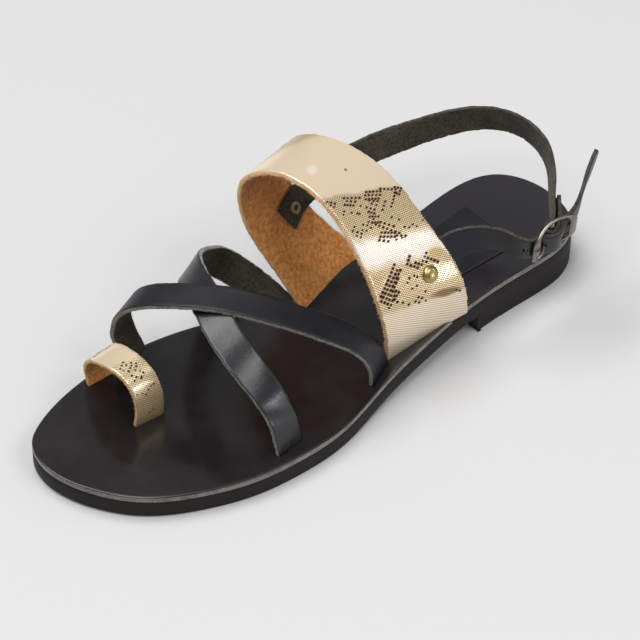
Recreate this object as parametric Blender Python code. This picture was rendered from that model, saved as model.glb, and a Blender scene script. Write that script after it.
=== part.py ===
"""Flat leather sandal for the left foot: +X to the toe, +Y to the outer side, +Z up, metres."""
import math

import bmesh
import bpy
import numpy as np
from mathutils import Matrix

# Sole, millimetres
LENGTH = 250.0
HEEL_TOP = 18.8
BALL_TOP = 10.1
RAMP_REAR = 70.0
RAMP_FRONT = 150.0
SPRING_START = 185.0
TOE_SPRING = 1.0
OUTSOLE_THICK = 7.1
INSOLE_THICK = 2.7
HEEL_BREAST = 65.0
HEEL_TAPER = 0.4
GAP = 0.3
STATIONS = 56

# Leather, millimetres
STRAP_WIDTH = 13.0
STRAP_THICK = 2.0
LOOP_THICK = 1.8
BAND_WIDTH = 40.0
BAND_THICK = 2.0
HEEL_STRAP_WIDTH = 12.5
HEEL_STRAP_THICK = 1.6
LABEL_THICK = 0.9
LABEL_GAP = 0.1

# Buckle, millimetres, in its own directions: fore, up, out
BUCKLE_AT = np.array([39.8, 43.0, 48.0])
TILT = math.radians(15)
SIDE = np.array([0.0, 1.0, 0.0])
UPRIGHT = np.array([0.17, 0.0, 0.985])
FORE = np.array([0.985, 0.0, -0.17])
UP = UPRIGHT * math.cos(TILT) + SIDE * math.sin(TILT)
OUT = SIDE * math.cos(TILT) - UPRIGHT * math.sin(TILT)
BAR = 1.0
HALF_LONG = 9.8
HALF_HIGH = 7.7
CORNER = 3.2
BAR_LIFT = 2.6
ARCH = 1.7
FOLD = BAR + GAP + HEEL_STRAP_THICK / 2
SLIT = 3.0
HOLE = 1.25
HOLE_PITCH = 8.0

# Rivets, millimetres
RIVET_HEAD = 3.6
RIVET_DOME = 1.7
RIVET_CAP = 0.8
RIVET_POST = 1.2
RIVET_RING = 2.9

# Sole outline: along, inner side, outer side
OUTLINE = [
    (0, 0.5, 0.5), (5, -18, 18.5), (10, -23.5, 23), (20, -27.5, 27),
    (30, -28, 28), (60, -24, 29), (90, -21, 33), (120, -24, 38),
    (150, -35.5, 45.5), (170, -41, 46.5), (190, -43, 44.5), (210, -41.5, 38),
    (230, -36, 26.5), (240, -31, 15.5), (245, -27, 7), (250, -12, -12),
]

# Strap middle lines: along, side, up, roll in degrees
TOE_LOOP = [
    (203, -9, 5, -6), (203, -6.5, 22, 2), (204.5, -11, 32.5, 4), (206, -23, 34, -4),
    (205, -35, 26.5, -3), (203.5, -39.5, 16, -3), (203, -36, 5, 3),
]
OVER = [
    (184, -37.5, 5, 16), (188.5, -43.5, 28, 20), (187, -35, 44.5, 20), (178.5, -20.5, 52, 11),
    (165.5, -3.5, 54, 2), (151.5, 12.5, 50, -8), (139, 24.5, 43.5, -19), (126.5, 32.5, 32, -38),
    (119.5, 32.5, 14, -25), (119, 31, 6, -20),
]
UNDER = [
    (170, 40.5, 5, 7), (171.5, 33, 28, 8), (175, 21, 41.5, -8), (174.5, 4, 49.5, -14),
    (170, -11, 51, -16), (163, -29.5, 46.5, -26), (151, -43, 38, -28), (136.5, -46.5, 27, 15),
    (129, -38, 19, 25), (125.5, -25.5, 14, 10), (124, -18.5, 9.5, 6), (123.5, -16, 5.5, 6),
]
BAND = [
    (91, 27.6, 8, -1.5), (97, 31.5, 40, 2), (100.5, 20.5, 60, 12), (103, 4.5, 76, 19),
    (108.5, -18.5, 85.5, 11), (113.5, -37.5, 77.5, -9), (112.8, -41.9, 56.6, -16),
    (106, -33.8, 33, -14), (98, -13.5, 8, 1),
]
HEEL_RUN = [
    (110.5, -35.3, 42.5, -23), (99.5, -39.8, 46.6, -15), (86, -39, 51.5, -18), (71, -36, 55.3, -18),
    (46.5, -32.5, 55, -10), (27.5, -20, 60.5, -2), (18.2, -2, 64, 1), (18, 15.5, 61, -7),
    (26.5, 29, 55.5, -9),
]
HEEL_END = [(-7.5, -7, 1.5), (-3, -2.7, 0.1), (0, -FOLD, 0)]
FLAP = [(-2.2, 1.4, 0), (-4.6, -0.4, 0.2), (-7.2, -3.2, 1), (-9.8, -6.2, 2.2), (-12.2, -9, 3.4)]
SIDE_RUN = [
    (97, 25.5, 43.5, -18), (86, 23.5, 45, -22), (75, 22.5, 47, -20), (64, 28.5, 50, -8),
    (56.5, 36, 49, -2),
]
SIDE_BUCKLE = [
    (9.5, 0, 0), (6.5, 0.5, 0), (3.2, 2.9, 0), (0, 4, 0), (-3.2, 2.9, 0), (-6.5, 0.5, 0), (-9.5, 0, 0),
]
SIDE_TAIL = [(19, 38.5, 57, 13), (7, 33, 67, 17)]
HEELWARD = np.array([-1.0, 0.0, 0.0])

# Band's reach from its middle line to the rear edge: length along, reach
BAND_REAR = [
    (0, 20), (75, 20), (90, 18.5), (105, 15.5), (120, 12.5), (135, 10.5), (160, 10), (180, 14), (200, 19),
]

# Where each rivet goes through the band
RIVET_INNER = np.array([105.8, -39.8, 43.2])
RIVET_OUTER = np.array([90.5, 29.5, 47.0])

# Bare label patch on the heel seat: along, side
LABEL = [(33, -14), (34, -15), (71, -11.5), (72, -10.5), (72, 14), (71, 15), (34, 15), (33, 14)]

# Slot: colour, roughness, metal
SLOTS = {
    "black_rubber": ((0.018, 0.017, 0.016), 0.75, 0.0),
    "black_leather": ((0.014, 0.014, 0.018), 0.4, 0.0),
    "gold_leather": ((0.62, 0.47, 0.3), 0.35, 0.4),
    "dark_metal": ((0.1, 0.095, 0.09), 0.35, 1.0),
    "brass": ((0.6, 0.45, 0.18), 0.25, 1.0),
}


def unit(a):
    """Scale rows of directions to length one."""
    return a / np.linalg.norm(a, axis=-1, keepdims=True)


def natural(u, p, t):
    """Natural cubic through rows p placed at u, read at t."""
    n = len(p)
    h = np.diff(u)
    m = np.zeros((n, n))
    r = np.zeros_like(p)
    m[0, 0] = m[-1, -1] = 1
    for i in range(1, n - 1):
        m[i, i - 1:i + 2] = h[i - 1], 2 * (h[i - 1] + h[i]), h[i]
        r[i] = 6 * ((p[i + 1] - p[i]) / h[i] - (p[i] - p[i - 1]) / h[i - 1])
    c = np.linalg.solve(m, r)
    k = np.clip(np.searchsorted(u, t) - 1, 0, n - 2)
    a = ((u[k + 1] - t) / h[k])[:, None]
    b = ((t - u[k]) / h[k])[:, None]
    bend = ((a ** 3 - a) * c[k] + (b ** 3 - b) * c[k + 1]) * (h[k] ** 2)[:, None] / 6
    return a * p[k] + b * p[k + 1] + bend


def spline(rows, count):
    """Evenly read points of a smooth line through table rows."""
    p = np.asarray(rows, float)
    u = np.concatenate([[0], np.cumsum(np.linalg.norm(np.diff(p[:, :3], axis=0), axis=1))])
    return natural(u, p, np.linspace(0, u[-1], count))


def sole_top(x):
    """Height of the insole's upper face."""
    s = np.clip((x - RAMP_REAR) / (RAMP_FRONT - RAMP_REAR), 0, 1)
    drop = (HEEL_TOP - BALL_TOP) * s * s * (3 - 2 * s)
    rise = TOE_SPRING * (np.maximum(x - SPRING_START, 0) / (LENGTH - SPRING_START)) ** 2
    return HEEL_TOP - drop + rise


def sole_sides(x):
    """Inner and outer edge of the sole at each station."""
    t = np.asarray(OUTLINE, float)
    turn = np.arccos(1 - 2 * t[:, 0] / LENGTH)
    return natural(turn, t[:, 1:], np.arccos(np.clip(1 - 2 * x / LENGTH, -1, 1)))


def at_buckle(fore, out, up):
    """A point given in the buckle's own directions."""
    return BUCKLE_AT + FORE * fore + OUT * out + UP * up


def make(name, verts, faces, slot=None):
    """Closed mesh object in millimetres with its faces turned outward."""
    mesh = bpy.data.meshes.new(name)
    mesh.from_pydata([tuple(v) for v in verts], [], faces)
    bm = bmesh.new()
    bm.from_mesh(mesh)
    bmesh.ops.remove_doubles(bm, verts=bm.verts, dist=1e-4)
    bmesh.ops.recalc_face_normals(bm, faces=bm.faces)
    bm.to_mesh(mesh)
    bm.free()
    ob = bpy.data.objects.new(name, mesh)
    bpy.context.scene.collection.objects.link(ob)
    if slot:
        mesh.materials.append(material(slot))
    return ob


def material(slot):
    """Plain material of a slot."""
    if slot in bpy.data.materials:
        return bpy.data.materials[slot]
    colour, rough, metal = SLOTS[slot]
    mat = bpy.data.materials.new(slot)
    mat.use_nodes = True
    shader = mat.node_tree.nodes["Principled BSDF"]
    shader.inputs["Base Color"].default_value = (*colour, 1)
    shader.inputs["Roughness"].default_value = rough
    shader.inputs["Metallic"].default_value = metal
    return mat


def loft(name, rings, slot=None, closed=False):
    """Skin over rings of the same number of points."""
    rings = np.asarray(rings, float)
    n, m = rings.shape[:2]
    faces = []
    for i in range(n if closed else n - 1):
        a, b = i * m, ((i + 1) % n) * m
        faces += [(a + j, a + (j + 1) % m, b + (j + 1) % m, b + j) for j in range(m)]
    if not closed:
        faces += [tuple(range(m)), tuple(range((n - 1) * m, n * m))]
    return make(name, rings.reshape(-1, 3), faces, slot)


def combine(ob, other, how):
    """Boolean that uses up the other object."""
    mod = ob.modifiers.new(how.lower(), "BOOLEAN")
    mod.operation = how
    mod.solver = "EXACT"
    mod.object = other
    bpy.context.view_layer.objects.active = ob
    bpy.ops.object.modifier_apply(modifier=mod.name)
    bpy.data.objects.remove(other, do_unlink=True)
    bm = bmesh.new()
    bm.from_mesh(ob.data)
    bmesh.ops.remove_doubles(bm, verts=bm.verts, dist=2e-3)
    bmesh.ops.dissolve_degenerate(bm, edges=bm.edges, dist=1e-3)
    bm.to_mesh(ob.data)
    bm.free()


def slab(name, x, low, high, slot=None, taper=0.0):
    """Solid between two heights over the sole outline at stations x."""
    sides = sole_sides(x)
    left, right = sides[:, 0], sides[:, 1]
    low = np.broadcast_to(low, x.shape)
    high = np.broadcast_to(high, x.shape)
    half = np.maximum(right - left, 1e-6) / 2
    inset = np.minimum(taper, half * 0.9)
    rings = np.stack([
        np.stack([x, left + inset, low], 1), np.stack([x, right - inset, low], 1),
        np.stack([x, right, high], 1), np.stack([x, left, high], 1)], 1)
    return loft(name, rings, slot)


def lean(mid):
    """Downward direction of the heel straps, tilted with the buckle near it."""
    near = np.clip(1.5 - np.linalg.norm(mid - BUCKLE_AT, axis=1) / 20, 0, 1)[:, None]
    return -(UPRIGHT * (1 - near) + UP * near)


def strip_frame(mid, roll, toward):
    """Across and outward directions along a strap's middle line."""
    tan = unit(np.gradient(mid, axis=0))
    toward = np.broadcast_to(toward, mid.shape)
    r = unit(toward - tan * (tan * toward).sum(1, keepdims=True))
    b = np.cross(tan, r)
    across = r * np.cos(roll)[:, None] + b * np.sin(roll)[:, None]
    return across, np.cross(across, tan)


def strip_rings(mid, roll, toward, width, thick, grow=0.0, tip=0.0, parts=1, rear=None):
    """Square-cut strap sections in parts across; tip rounds the end, rear sets the far reach."""
    across, out = strip_frame(mid, roll, toward)
    half = np.full(len(mid), width / 2 + grow)
    if tip:
        left = np.linalg.norm(mid - mid[-1], axis=1)
        half *= np.sqrt(np.clip(1 - np.maximum(1 - left / tip, 0) ** 2, 0.09, 1))
    far = half
    if rear:
        run = np.concatenate([[0], np.cumsum(np.linalg.norm(np.diff(mid, axis=0), axis=1))])
        far = np.interp(run, *np.array(rear, float).T) + grow
    t = out * (thick / 2 + grow)
    lines = [mid + across * (f * (far if f > 0 else half))[:, None] for f in np.linspace(-1, 1, parts + 1)]
    return np.stack([row + t for row in lines] + [row - t for row in lines[::-1]], 1)


def line_of(rows, count):
    """Middle line and roll of a table."""
    q = spline(rows, count)
    return q[:, :3], np.radians(q[:, 3])


def tube(name, path, radius, sides=8, closed=False, slot=None):
    """Round bar along a path."""
    path = np.asarray(path, float)
    step = np.roll(path, -1, 0) - np.roll(path, 1, 0) if closed else np.gradient(path, axis=0)
    tan = unit(step)
    side = unit(np.cross(tan, np.broadcast_to(OUT, tan.shape) + 1e-3 * UP))
    up = np.cross(side, tan)
    a = np.arange(sides) * 2 * math.pi / sides
    ring = side[:, None] * np.cos(a)[None, :, None] + up[:, None] * np.sin(a)[None, :, None]
    return loft(name, path[:, None] + ring * np.broadcast_to(radius, len(path))[:, None, None], slot, closed)


def turned(name, base, axis, profile, sides=20, slot=None):
    """Solid of revolution from (radius, height) rows along an axis."""
    axis = unit(np.asarray(axis, float))
    side = unit(np.cross(axis, [0.3, 0.2, 0.9]))
    other = np.cross(axis, side)
    a = np.arange(sides) * 2 * math.pi / sides
    ring = side[None] * np.cos(a)[:, None] + other[None] * np.sin(a)[:, None]
    rings = np.stack([base + axis * h + ring * r for r, h in profile])
    return loft(name, rings, slot)


def block(name, fore, out, up):
    """Box between limits given in the buckle's own directions."""
    corners = ((out[0], up[0]), (out[1], up[0]), (out[1], up[1]), (out[0], up[1]))
    return loft(name, [[at_buckle(f, o, u) for o, u in corners] for f in fore])


# Start from an empty file
for old in list(bpy.data.objects):
    bpy.data.objects.remove(old, do_unlink=True)

# Sole
turn = np.linspace(0, math.pi, STATIONS)
x_all = LENGTH * (1 - np.cos(turn)) / 2
x_heel = np.append(x_all[x_all < HEEL_BREAST - 1], HEEL_BREAST)
base = sole_top(x_all) - INSOLE_THICK - GAP
slab("outsole", x_all, base - OUTSOLE_THICK, base, "black_rubber")
slab("heel", x_heel, 0.0, HEEL_TOP - INSOLE_THICK - 2 * GAP - OUTSOLE_THICK, "black_rubber", HEEL_TAPER)
insole = slab("insole", x_all, sole_top(x_all) - INSOLE_THICK, sole_top(x_all), "black_leather")
rings = [[(x, y, HEEL_TOP + LABEL_GAP + h) for x, y in LABEL] for h in (0, LABEL_THICK)]
loft("heel_label", rings, "black_leather")

# Straps that run into slots of the insole
straps = {
    "toe_loop": (TOE_LOOP, STRAP_WIDTH, LOOP_THICK, "gold_leather", 44, 1),
    "over": (OVER, STRAP_WIDTH, STRAP_THICK, "black_leather", 72, 1),
    "under": (UNDER, STRAP_WIDTH, STRAP_THICK, "black_leather", 76, 1),
    "instep_band": (BAND, BAND_WIDTH, BAND_THICK, "gold_leather", 72, 4),
}
body = {}
for name, (rows, width, thick, slot, count, parts) in straps.items():
    mid, roll = line_of(rows, count)
    rear = BAND_REAR if name == "instep_band" else None
    rings = strip_rings(mid, roll, HEELWARD, width, thick, parts=parts, rear=rear)
    body[name] = loft(name, rings, slot)
    floor = slab("floor", x_all, -20.0, base + GAP)
    combine(body[name], floor, "DIFFERENCE")
    rings = strip_rings(mid, roll, HEELWARD, width, thick, GAP, parts=parts, rear=rear)
    combine(insole, loft("slot_cut", rings), "DIFFERENCE")
combine(body["over"], body["under"], "UNION")
body["over"].name = "cross_straps"

# Long heel strap, folded round the buckle's middle bar
rows = HEEL_RUN + [(*at_buckle(f, o, u), 0) for f, o, u in HEEL_END]
run, roll = line_of(rows, 76)
turns = np.linspace(-math.pi / 2, math.pi / 2, 9)[1:]
fold = np.array([at_buckle(FOLD * math.cos(a), FOLD * math.sin(a), 0) for a in turns])
flap = spline([fold[-1]] + [at_buckle(f, o, u) for f, o, u in FLAP], 15)[1:]
mid = np.concatenate([run, fold, flap])
roll = np.concatenate([roll, np.zeros(len(fold) + len(flap))])
heel_line = run
rings = strip_rings(mid, roll, lean(mid), HEEL_STRAP_WIDTH, HEEL_STRAP_THICK)
heel_strap = loft("heel_strap", rings, "black_leather")
combine(heel_strap, block("slit", (-3.6, 4.0), (-4.2, 4.2), (-SLIT / 2, SLIT / 2)), "DIFFERENCE")

# Short side strap with its tail
rows = SIDE_RUN + [(*at_buckle(f, o, u), 0) for f, o, u in SIDE_BUCKLE] + SIDE_TAIL
mid, roll = line_of(rows, 90)
side_line = mid
rings = strip_rings(mid, roll, lean(mid), HEEL_STRAP_WIDTH, HEEL_STRAP_THICK, tip=5.0)
side_strap = loft("side_strap", rings, "black_leather")
_, outward = strip_frame(mid, roll, lean(mid))
reach = np.concatenate([[0], np.cumsum(np.linalg.norm(np.diff(mid, axis=0), axis=1))])
pin_at = np.argmin(np.linalg.norm(mid - at_buckle(5.2, 2.0, 0), axis=1))
for k in (-1, 0, 1, 2, 3):
    i = np.argmin(np.abs(reach - reach[pin_at] - k * HOLE_PITCH))
    punch = turned("punch", mid[i], outward[i], [(HOLE, -2.5), (HOLE, 2.5)], 12)
    combine(side_strap, punch, "DIFFERENCE")

# Buckle frame and its prong
long, high = HALF_LONG - CORNER, HALF_HIGH - CORNER
loop = []
for ex, ey, start in ((1, 1, 0), (-1, 1, 90), (-1, -1, 180), (1, -1, 270)):
    for a in np.radians(start + np.array([0, 22.5, 45, 67.5, 90])):
        loop.append((ex * long + CORNER * math.cos(a), ey * high + CORNER * math.sin(a)))
    if start in (0, 180):
        loop += [(ex * long * f, ey * HALF_HIGH) for f in (0.5, 0, -0.5)]
    else:
        loop += [(ex * HALF_LONG, ey * high * f) for f in (0.4, -0.4)]
path = []
for f, u in loop:
    bow = 1 - (f / HALF_LONG) ** 2
    path.append(at_buckle(f, BAR_LIFT * (1 - bow), u * (1 + ARCH / HALF_HIGH * bow)))
frame = tube("buckle_frame", path, BAR, 8, True, "dark_metal")
tall = HALF_HIGH + ARCH
combine(frame, tube("bar", [at_buckle(0, 0, u) for u in (-tall, 0, tall)], BAR * 0.95, 8), "UNION")
ring = [at_buckle(1.95 * math.cos(a), 1.95 * math.sin(a), 0) for a in np.linspace(0, 2 * math.pi, 17)[:-1]]
ring_path = np.array(ring)
tan = unit(np.roll(ring_path, -1, 0) - np.roll(ring_path, 1, 0))
face = np.cross(tan, UP)
a = np.arange(8) * math.pi / 4
round_bar = face[:, None] * np.cos(a)[None, :, None] + UP * np.sin(a)[None, :, None]
wheel = ring_path[:, None] + 0.6 * round_bar
prong = loft("buckle_prong", wheel, "dark_metal", True)
PIN = [(1.9, 0.2), (3.2, 0.9), (5.6, 2.2), (8.0, 4.1), (9.8, 4.8), (11.4, 4.9)]
pin = [at_buckle(f, o, 0) for f, o in PIN]
pin_size = np.array([0.6, 0.75, 0.75, 0.75, 0.7, 0.5])
combine(prong, tube("pin", pin, pin_size, 8), "UNION")
combine(side_strap, tube("pin_room", pin, pin_size + GAP, 8), "DIFFERENCE")

# Rivets through the band and the two heel straps
mid, roll = line_of(BAND, 400)
across, outward = strip_frame(mid, roll, HEELWARD)
for name, point, strap, line, dome in (
        ("rivet_inner", RIVET_INNER, heel_strap, heel_line, False),
        ("rivet_outer", RIVET_OUTER, side_strap, side_line, True)):
    off = ((point - mid) * across).sum(1)
    sheet = mid + across * off[:, None]
    i = np.argmin(np.linalg.norm(point - sheet, axis=1))
    spot = sheet[i]
    ahead = mid[i + 4] + across[i + 4] * off[i]
    axis = unit(np.cross(across[i], ahead - mid[i - 4] - across[i - 4] * off[i]))
    axis *= np.sign(axis[1] * spot[1])
    near = line - spot
    k = np.argmin(np.linalg.norm(near - (near @ axis)[:, None] * axis, axis=1))
    top = BAND_THICK / 2 + GAP
    deep = near[k] @ axis - HEEL_STRAP_THICK / 2 - 3 * GAP
    head = RIVET_DOME if dome else RIVET_CAP
    profile = [(RIVET_RING, deep - 0.7), (RIVET_RING, deep), (RIVET_POST, deep), (RIVET_POST, top)]
    profile += [(RIVET_HEAD * c, top + head * s)
                for c, s in ((1, 0), (0.98, 0.35), (0.8, 0.75), (0.45, 0.95), (0.1, 1.0))]
    turned(name, spot, axis, profile, 20, "brass")
    for piece in (body["instep_band"], strap):
        drill = turned("drill", spot, axis, [(RIVET_POST + GAP, -9.0), (RIVET_POST + GAP, 3.0)], 20)
        combine(piece, drill, "DIFFERENCE")

# Metres, with the origin under the middle of the whole sandal
pieces = [ob for ob in bpy.data.objects if ob.type == "MESH"]
points = np.array([v.co for ob in pieces for v in ob.data.vertices])
low, high = points.min(0), points.max(0)
centre = Matrix.Translation((-(low[0] + high[0]) / 2, -(low[1] + high[1]) / 2, -low[2]))
for ob in pieces:
    ob.data.transform(Matrix.Scale(0.001, 4) @ centre)
    ob.data.shade_smooth()
    ob.data.set_sharp_from_angle(angle=math.radians(35))
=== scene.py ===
"""Looks of a left leather sandal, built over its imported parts: leather, print, metal, light and camera."""

import math

import bmesh
import bpy
import numpy as np
from mathutils import Matrix, Vector


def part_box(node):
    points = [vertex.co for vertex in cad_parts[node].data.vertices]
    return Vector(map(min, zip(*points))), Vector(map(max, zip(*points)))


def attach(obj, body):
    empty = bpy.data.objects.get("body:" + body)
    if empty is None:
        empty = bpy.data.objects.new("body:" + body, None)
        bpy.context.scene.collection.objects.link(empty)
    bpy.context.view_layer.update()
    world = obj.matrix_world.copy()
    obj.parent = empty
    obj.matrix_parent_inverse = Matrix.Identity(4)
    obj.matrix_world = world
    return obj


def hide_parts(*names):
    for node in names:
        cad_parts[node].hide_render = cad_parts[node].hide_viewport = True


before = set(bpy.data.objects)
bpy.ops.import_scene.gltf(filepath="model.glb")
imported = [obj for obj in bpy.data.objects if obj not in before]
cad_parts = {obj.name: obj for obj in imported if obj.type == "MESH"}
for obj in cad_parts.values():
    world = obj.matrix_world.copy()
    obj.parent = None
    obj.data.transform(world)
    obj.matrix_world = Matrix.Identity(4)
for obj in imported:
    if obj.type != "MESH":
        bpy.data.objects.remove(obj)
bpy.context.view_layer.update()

# Sole, millimetres
LENGTH = 250.0
HEEL_TOP = 18.8
BALL_TOP = 10.1
RAMP_REAR = 70.0
RAMP_FRONT = 150.0
SPRING_START = 185.0
TOE_SPRING = 1.0
OUTSOLE_THICK = 7.1
INSOLE_THICK = 2.7
HEEL_BREAST = 65.0
GAP = 0.3
HEEL_PLAY = 0.02

# Leather, millimetres
STRAP_WIDTH = 13.0
STRAP_THICK = 2.0
LOOP_THICK = 1.8
BAND_WIDTH = 40.0
BAND_THICK = 2.0
HEEL_STRAP_WIDTH = 12.5
HEEL_STRAP_THICK = 1.6
LABEL_THICK = 0.9

# Reading steps along the straps, depth of their ends in the insole, wave of their edges, millimetres
LOOP_STEP = 0.6
STRAP_STEP = 0.8
BAND_STEP = 1.0
RIVET_STEP = 0.4
SLOT_STEP = 2.0
END_DEPTH = 2.3
EDGE_WAVE = 9

# Plain straps: columns across, raggedness and fuzz of the edges, fibres for each mm and their length
PLAIN_COLS = 12
PLAIN_RAGGED = 0.12
PLAIN_FUZZ = 0.16
PLAIN_FIBRES = 7
PLAIN_FIBRE_LONG = 0.45

# Gold straps: fibres for each mm, their length for each mm of fuzz, their thickness and where they grow
GOLD_FIBRES = 9
GOLD_FIBRE_LONG = 4
GOLD_FIBRE_THICK = 0.09
GOLD_FIBRE_SPAN = (0.06, 0.94)
FIBRE_THICK = 0.045

# Buckle, millimetres, in its own directions
BUCKLE_AT = np.array([39.8, 43.0, 48.0])
TILT = math.radians(15)
SIDE = np.array([0.0, 1.0, 0.0])
UPRIGHT = np.array([0.17, 0.0, 0.985])
FORE = np.array([0.985, 0.0, -0.17])
UP = UPRIGHT * math.cos(TILT) + SIDE * math.sin(TILT)
OUT = SIDE * math.cos(TILT) - UPRIGHT * math.sin(TILT)
BAR = 1.0
HALF_LONG = 9.8
HALF_HIGH = 7.7
CORNER = 3.2
BAR_LIFT = 2.6
ARCH = 1.7
FOLD = BAR + GAP + HEEL_STRAP_THICK / 2

# Holes in the side strap, counted from the prong, and the slit in the fold
HOLE = 1.25
HOLE_PITCH = 8.0
HOLES = (-1, 0, 1, 2, 3)
PUNCH = 2.5
PIN_HOLE = (5.2, 2.0, 0)
SLIT_LONG = (-3.6, 4.0)
SLIT_OUT = 4.2
SLIT_UP = 1.5

# Sections of the buckle's metal, and the prong's line as (fore, out)
FRAME_THIN = 0.7
FRAME_WIDER = 1.15
FRAME_DEEP = 0.65
BAR_DRAWN = 0.95
BAR_SHORT = 0.3
EYE_RADIUS = 1.95
EYE_WIDE = 0.75
EYE_DEEP = 0.6
PRONG = [(1.9, 0.2), (3.2, 0.9), (5.6, 2.2), (8.0, 4.1), (9.8, 4.8), (11.4, 4.9)]
PRONG_WIDE = (0.8, 0.55)
PRONG_DEEP = (0.7, 0.5)
PRONG_COUNT = 26

# Sole outline: along, inner side, outer side
OUTLINE = [
    (0, 0.5, 0.5), (5, -18, 18.5), (10, -23.5, 23), (20, -27.5, 27),
    (30, -28, 28), (60, -24, 29), (90, -21, 33), (120, -24, 38),
    (150, -35.5, 45.5), (170, -41, 46.5), (190, -43, 44.5), (210, -41.5, 38),
    (230, -36, 26.5), (240, -31, 15.5), (245, -27, 7), (250, -12, -12),
]

# Strap middle lines: along, side, up, roll in degrees
TOE_LOOP = [
    (203, -9, 5, -6), (203, -6.5, 22, 2), (204.5, -11, 32.5, 4), (206, -23, 34, -4),
    (205, -35, 26.5, -3), (203.5, -39.5, 16, -3), (203, -36, 5, 3),
]
OVER = [
    (184, -37.5, 5, 16), (188.5, -43.5, 28, 20), (187, -35, 44.5, 20), (178.5, -20.5, 52, 11),
    (165.5, -3.5, 54, 2), (151.5, 12.5, 50, -8), (139, 24.5, 43.5, -19), (126.5, 32.5, 32, -38),
    (119.5, 32.5, 14, -25), (119, 31, 6, -20),
]
UNDER = [
    (170, 40.5, 5, 7), (171.5, 33, 28, 8), (175, 21, 41.5, -8), (174.5, 4, 49.5, -14),
    (170, -11, 51, -16), (163, -29.5, 46.5, -26), (151, -43, 38, -28), (136.5, -46.5, 27, 15),
    (129, -38, 19, 25), (125.5, -25.5, 14, 10), (124, -18.5, 9.5, 6), (123.5, -16, 5.5, 6),
]
BAND = [
    (91, 27.6, 8, -1.5), (97, 31.5, 40, 2), (100.5, 20.5, 60, 12), (103, 4.5, 76, 19),
    (108.5, -18.5, 85.5, 11), (113.5, -37.5, 77.5, -9), (112.8, -41.9, 56.6, -16),
    (106, -33.8, 33, -14), (98, -13.5, 8, 1),
]
HEEL_RUN = [
    (110.5, -35.3, 42.5, -23), (99.5, -39.8, 46.6, -15), (86, -39, 51.5, -18), (71, -36, 55.3, -18),
    (46.5, -32.5, 55, -10), (27.5, -20, 60.5, -2), (18.2, -2, 64, 1), (18, 15.5, 61, -7),
    (26.5, 29, 55.5, -9),
]
HEEL_END = [(-7.5, -7, 1.5), (-3, -2.7, 0.1), (0, -FOLD, 0)]
FLAP = [(-2.2, 1.4, 0), (-4.6, -0.4, 0.2), (-7.2, -3.2, 1), (-9.8, -6.2, 2.2), (-12.2, -9, 3.4)]
SIDE_RUN = [
    (97, 25.5, 43.5, -18), (86, 23.5, 45, -22), (75, 22.5, 47, -20), (64, 28.5, 50, -8),
    (56.5, 36, 49, -2),
]
SIDE_BUCKLE = [
    (9.5, 0, 0), (6.5, 0.5, 0), (3.2, 2.9, 0), (0, 4, 0), (-3.2, 2.9, 0), (-6.5, 0.5, 0), (-9.5, 0, 0),
]
SIDE_TAIL = [(19, 38.5, 57, 13), (7, 33, 67, 17)]
HEELWARD = np.array([-1.0, 0.0, 0.0])

# Band's reach from its middle line to the rear edge: length along, reach
BAND_REAR = [
    (0, 20), (75, 20), (90, 18.5), (105, 15.5), (120, 12.5), (135, 10.5), (160, 10), (180, 14), (200, 19),
]

# Where each rivet goes through the band
RIVET_INNER = np.array([105.8, -39.8, 43.2])
RIVET_OUTER = np.array([90.5, 29.5, 47.0])

# Rivets, millimetres: readings apart for the slope, shank and rim, domed head, flat head, ring at the back
NEARBY = 8
SUNK = 0.1
SHANK = 1.2
RIM = 3.5
DOME_RADIUS = 3.55
DOME_BASE = 0.35
DOME_RISE = 1.75
DISC_RADIUS = 3.3
DISC_SOFT = 0.3
DISC_BASE = 0.5
DISC_RISE = 0.4
DISC_TOP = [(1.5, 1.0), (0.2, 1.0)]
BACK_RING = [(0.9, -0.15), (1.3, -0.75), (2.2, -0.9), (2.8, -0.5), (2.9, 0), (SHANK, 0)]
PIT_RING = [(1.1, -0.2), (1.1, -0.3)]

# Label patch: rear, front, inner side, inner side at the front, outer side
LABEL = (33.0, 72.0, -15.0, -11.0, 15.0)
LABEL_CORNER = 1.5
LABEL_FLOAT = 0.1
LABEL_SOFT = 0.25
LABEL_FLAT = 1.2

# Printed lattice on the gold leather: two steps and an origin, as (across, along)
STEP_RISE = np.array([1.56, 0.745])
STEP_FALL = np.array([1.31, -1.375])
STEP_FLAT = np.array([1.55, -0.9])
LATTICE_AT = np.array([-19.1, 45.6])

# Print marks: where the lattice starts to flatten and over what length, shares of a mark's cut corners
FLATTEN_FROM = 54
FLATTEN_OVER = 6
MARK_SHARES = (0.39, 0.11)

# Print marks: heights over the leather, depth into it, colour of the fine dots, clear edges and end
FILL_HEIGHT = 0.03
INK_HEIGHT = 0.06
MARK_SUNK = 0.1
DOT_INK = (0.045, 0.026, 0.01)
EDGE_CLEAR = 0.8
END_CLEAR = 6

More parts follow.
